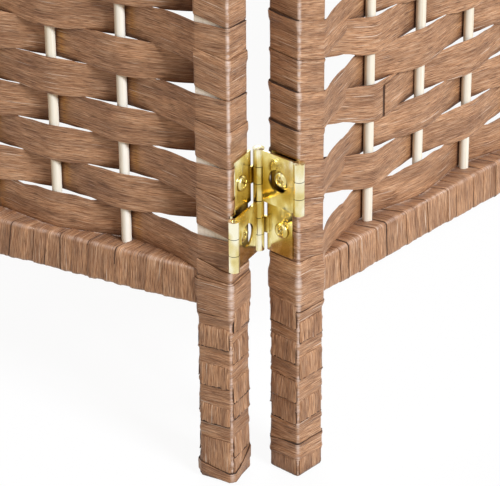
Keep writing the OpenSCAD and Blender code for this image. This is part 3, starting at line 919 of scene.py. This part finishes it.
def add_end(bag, rng, side, tops, stand_off, bed):
    """Strips that run along two opposite faces of a stile and round its end. At
    the foot they lie on the bed, and at the top, without one, under the winding."""
    for face, top in enumerate(tops):
        _, out, run = face_frame(side, face)
        # heights on one face, round the sole, and up the other
        reach = CORE / 2 + stand_off + (0.25 if face and bed is not None else 0)
        sole = 0.50 if face == 0 else 0.22
        r = 1.5
        path = [(reach - 0.2, top), (reach, top - 2), (reach, 7.0), (reach, 3.0), (reach, sole + r)]
        path += [(reach - r + r * cos(a), sole + r - r * sin(a))
                 for a in (pi / 8, pi / 4, 3 * pi / 8)]
        path += [(reach - r, sole), (reach - 4, sole)]
        path = np.array(path + [(-x, z) for x, z in path[::-1]])
        mid = np.column_stack([np.array([STILE_X[side], 0.0]) + path[:, :1] * out[:2], path[:, 1]])
        tan = np.gradient(path, axis=0)
        tan /= np.linalg.norm(tan, axis=1)[:, None]
        # the outward normal is to the left of the way down
        normal = np.column_stack([-tan[:, 1:] * out[:2], tan[:, 0]])
        lift = ridges(rng, 0.2) - 0.25 * ease(0.86, 1.0, np.abs(PATCH_COLS))
        lift = lift * (0.4 + 0.6 * (path[:, 1:] > 2))
        if bed is None:
            mid[:, 2] = PANEL_H - mid[:, 2]
            normal[:, 2] *= -1
        bag.strip(mid, normal, run, 8.3, lift, PATCH_COLS, anywhere(rng), 0.35, True)
        if bed is not None:
            for f in (face, face + 2):
                bed.raise_face(f, np.array([0.0, top]), np.full(2, reach - RING_OUT + 0.25))


RAIL_RING = ring(RING_OUT, RAIL_H / 2 - 0.8 + RING_GAP, 1.2)
RAIL_COLS = column_set(21)
RAIL_CORNER = at_corner(RAIL_RING[1])
RAIL_TURNS, RAIL_HALF, RAIL_THICK = 34, 9.3, 0.34


def build_rail(panel, name, centre_z, dark):
    """Ribbon wound round a rail, each turn over part of the one before."""
    rng = np.random.default_rng(5200 + panel * 10 + (name == "top"))
    pts, outs, share, length = RAIL_RING
    bag = Ribbons()
    first, last = STILE_W - 0.35 + RAIL_HALF, PANEL_W - STILE_W + 0.35 - RAIL_HALF
    adv = rng.uniform(0.45, 1.55, RAIL_TURNS)
    adv[0] = 0
    adv *= (last - first) / adv.sum()
    begin = first + np.concatenate([[0], np.cumsum(adv), [0]])
    begin[-1] = begin[-2]
    # from the middle of the underside: up the back or front, over the top and down
    index = np.arange(0, (RAIL_TURNS + 1) * TURN + 1) + HALF_TURN
    i = index % TURN
    t = share[i] + index // TURN - 0.5
    turn = np.minimum(np.floor(t + 1e-9).astype(int), RAIL_TURNS)
    x = begin[turn] + (begin[turn + 1] - begin[turn]) * np.interp(
        t - turn, [0, 0.12, 0.37, 0.5, 0.63, 0.88, 1.0], [0, 0.08, 0.24, 0.5, 0.80, 0.92, 1.0])
    s = t * length
    half = RAIL_HALF + drift(rng, s, 40, 0.25)
    x = np.clip(x + drift(rng, s, 25, 0.25), first, last)
    lift = Bed(PANEL_W).lay_all(index, x, half, RAIL_COLS, 0.06, 0.22, thick=RAIL_THICK)
    pleat = np.repeat(rng.normal(0, 0.07, (RAIL_TURNS + 2, len(RAIL_COLS))), TURN, 0)[:len(index)]
    lift += np.maximum(1.3 * pleat * (0.8 + drift(rng, s, 20, 0.25))[:, None], -0.1)
    lift += np.abs(creases(rng, s, RAIL_COLS, half, 8, 0.09, 0.6))
    mid = np.column_stack([x, pts[i, 0], centre_z + pts[i, 1]])
    out = np.column_stack([np.zeros(len(index)), outs[i]])
    # with a faint painted highlight along the rail's corners
    bag.strip(mid, out, RIGHT, half, lift, RAIL_COLS, anywhere(rng), RAIL_THICK, True,
              wear=0.35 * RAIL_CORNER[i])
    # lines of painted shade along some of the laps
    gap = np.clip(drift(rng, s, 22, 1.0) - 0.25, 0, 1.0) * (turn > 0) * (turn < RAIL_TURNS)
    for j, swell in stretches(gap > 0.1, 5):
        m = mid[j]
        m[:, 0] -= half[j] + 0.1
        shade_strip(dark, m, out[j], RIGHT, 0.12 + 0.38 * swell * np.minimum(1, 2 * gap[j]),
              lift[j, 0] - 0.06)
    return bag.make(f"panel_{panel}_{name}_rail_ribbon", panel, panel in MIRRORED)


for p in PANELS:
    lines = build_field(p)
    low = build_rail(p, "bottom", LEG_H + RAIL_H / 2, lines)
    high = build_rail(p, "top", TOP_RAIL_Z + RAIL_H / 2, lines)
    for o in (low, high):
        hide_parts(f"panel_{p}_rail_wraps")
    # the panel's lines and strips of painted shade, as one mesh
    o = lines.make(f"panel_{p}_painted_shade_lines", p, p in MIRRORED, PAINTED_SHADE)
    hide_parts(f"panel_{p}_stile_wraps")


# ---------- screws and brass

HEAD_R, HEAD_H, HEAD_RIM = 4.0, 1.9, 0.55
# The screw behind its domed face, as (place along it, radius)
SCREW_BACK = ((0.12, 4.0), (0.0, 3.9), (0.0, 1.5), (-13.0, 1.5), (-14.0, 0.4))


def head_height(x, y):
    """Height of a pan head with a cross recess."""
    r = np.hypot(x, y) / HEAD_R
    dome = HEAD_RIM + (HEAD_H - HEAD_RIM) * np.sqrt(np.maximum(0, 1 - r ** 2.6))
    cross = np.zeros_like(r)
    for a, b in ((np.abs(x), np.abs(y)), (np.abs(y), np.abs(x))):
        wide = 0.52 - 0.05 * a
        arm = (1 - ease(wide - 0.13, wide + 0.13, b)) * (1 - ease(1.75, 2.35, a))
        cross = np.maximum(cross, arm)
    floor_z = HEAD_H - 1.25 * (1 - np.minimum(1, np.hypot(x, y) / 3.1))
    return dome + (np.minimum(dome, floor_z - 0.12) - dome) * cross


def screw_points(rng):
    """One screw along +x from its head's underside: points and faces."""
    seg, r = 72, np.concatenate([np.linspace(0.12, 2.6, 16), np.linspace(2.8, 3.8, 6), [3.93, 4.0]])
    ang = 2 * np.pi * np.arange(seg) / seg
    gx, gy = r[:, None] * np.cos(ang), r[:, None] * np.sin(ang)
    rings = [np.stack([head_height(x, y), x, y], 1) for x, y in zip(gx, gy)]
    rings += [np.stack([np.full(seg, x), rad * np.cos(ang), rad * np.sin(ang)], 1)
              for x, rad in SCREW_BACK]
    turn = rng.uniform(0, pi / 2)
    co = np.concatenate(rings)
    y, z = co[:, 1].copy(), co[:, 2].copy()
    co[:, 1] = y * cos(turn) - z * sin(turn)
    co[:, 2] = y * sin(turn) + z * cos(turn)
    k = np.arange(seg)
    nxt = (k + 1) % seg
    faces = [np.stack([k + i, k + i + seg, nxt + i + seg, nxt + i], 1)
             for i in range(0, (len(rings) - 1) * seg, seg)]
    caps = [k, (k + (len(rings) - 1) * seg)[::-1]]
    return co, np.concatenate(faces).tolist() + [c.tolist() for c in caps]


def build_screws(panel):
    """The screws of all hinges on a panel, which has none along the screen's ends."""
    rng = np.random.default_rng(880 + panel)
    points, faces, n = [], [], 0
    for x, way, without in ((-SHEET_T, -1, PANELS[0]), (PANEL_W + SHEET_T, 1, PANELS[-1])):
        if panel == without:
            continue
        for hinge in HINGE_Z:
            for step in (-SCREW_STEP, SCREW_STEP):
                co, quads = screw_points(rng)
                points.append(co * np.array([way, way, 1]) + np.array([x, 0, hinge + step]))
                faces += [[v + n for v in q] for q in quads]
                n += len(co)
    me = bpy.data.meshes.new(f"panel_{panel}_cross_screws")
    me.from_pydata(place(panel, np.concatenate(points)).tolist(), [], faces)
    me.shade_smooth()
    me.set_sharp_from_angle(angle=radians(40))
    obj = add_object(me.name, me)
    me.materials.append(BRASS)
    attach(obj, f"panel_{panel}")
    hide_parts(f"panel_{panel}_screws")


for p in PANELS:
    build_screws(p)


# ---------- finish of the carried CAD nodes

FINISH = {"dowels": DOWEL, "weave": RIBBON, "stile_wraps": RIBBON, "rail_wraps": RIBBON}
for kind in ("left_stile", "right_stile", "top_rail", "bottom_rail", "joint_pins"):
    FINISH[kind] = TIMBER

for name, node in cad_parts.items():
    kind = name.split("_", 2)[2]
    mat = FINISH.get(kind, BRASS)
    node.data.materials.clear()
    node.data.materials.append(mat)
    if mat is BRASS and kind != "screws":
        edge = node.modifiers.new("edge", "BEVEL")
        edge.width = (0.45 if kind.endswith("pins") else 0.16) * MM
        edge.segments = 2
        edge.limit_method = "ANGLE"
        edge.angle_limit = SHARP


# ---------- camera, floor and light

# Fitted to the photo
CAMERA_AT = (-0.1907052, -1.1757831, 0.6983726)
YAW, PITCH, ROLL = (radians(v) for v in (9.962, 27.92, -0.408))
LENS = 181.75

FLOOR_HALF, FLOOR_GAP = 14, 0.0002   # half its side, and how far it lies under the soles


def build_camera():
    fwd = Vector((sin(YAW) * cos(PITCH), cos(YAW) * cos(PITCH),
                  -sin(PITCH)))
    right = Vector((cos(YAW), -sin(YAW), 0))
    up = right.cross(fwd)
    right, up = (cos(ROLL) * right + sin(ROLL) * up,
                 -sin(ROLL) * right + cos(ROLL) * up)
    data = bpy.data.cameras.new("camera")
    data.lens, data.sensor_width, data.sensor_fit = LENS, 36.0, "HORIZONTAL"
    data.clip_start, data.clip_end = 0.05, 100
    cam = add_object("camera", data)
    spin = Matrix((right, up, -fwd)).transposed()
    cam.matrix_world = Matrix.Translation(CAMERA_AT) @ spin.to_4x4()
    bpy.context.scene.camera = cam


def area(name, size, at, aim, power, colour=(1, 1, 1)):
    data = bpy.data.lights.new(name, "AREA")
    data.shape, data.size, data.size_y = "RECTANGLE", size[0], size[1]
    data.energy, data.color = power, colour
    lamp = add_object(name, data)
    lamp.location = at
    lamp.rotation_mode = "QUATERNION"
    lamp.rotation_quaternion = (Vector(aim) - Vector(at)).to_track_quat("-Z", "Y")


def build_floor():
    """A pale floor that keeps the shadow and is white where the camera sees it."""
    me = bpy.data.meshes.new("floor")
    r = FLOOR_HALF
    me.from_pydata([(-r, -r, 0), (r, -r, 0), (r, r, 0), (-r, r, 0)], [], [(0, 1, 2, 3)])
    floor = add_object("floor", me)
    floor.location.z = -FLOOR_GAP
    mat = bpy.data.materials.new("floor_white")
    mat.use_nodes = True
    g = Graph(mat.node_tree)
    g.nodes.clear()
    seen = g.seen_ray()
    colour = g.ramp(seen, (0.0, (0.50, 0.43, 0.34)), (1.0, 0.96))
    diffuse = g.add("ShaderNodeBsdfDiffuse", {"Color": colour})
    glow = g.add("ShaderNodeEmission", {"Strength": 1.0})
    blend = g.add("ShaderNodeMixShader", {
        0: g.maths("MULTIPLY", seen, 0.92), 1: diffuse.outputs[0], 2: glow.outputs[0]})
    g.add("ShaderNodeOutputMaterial", {"Surface": blend.outputs[0]})
    me.materials.append(mat)


def build_world():
    """Dim warm light all round on the object, and white for the camera."""
    world = bpy.data.worlds.new("studio")
    bpy.context.scene.world = world
    world.use_nodes = True
    g = Graph(world.node_tree)
    seen = g.seen_ray()
    level = g.add("ShaderNodeMapRange", {"Value": seen, "To Min": 0.26, "To Max": 1.0})
    g.feed(g.nodes["Background"], {
        "Color": g.ramp(seen, (0.0, (1.0, 0.86, 0.69)), (1.0, 1.0)),
        "Strength": level.outputs["Result"]})


build_camera()
build_floor()
build_world()
area("key", (1.6, 1.6), (2.35, -3.9, 3.2), (0, 0, 0.4), 322, (0.95, 1.02, 1.11))
area("fill", (2.0, 2.0), (-3.2, -2.4, 2.2), (0, 0, 0.6), 12)
area("back", (2.5, 1.5), (0.4, 3.0, 2.6), (0, 0, 0.8), 55)

bpy.context.scene.view_settings.view_transform = "Standard"
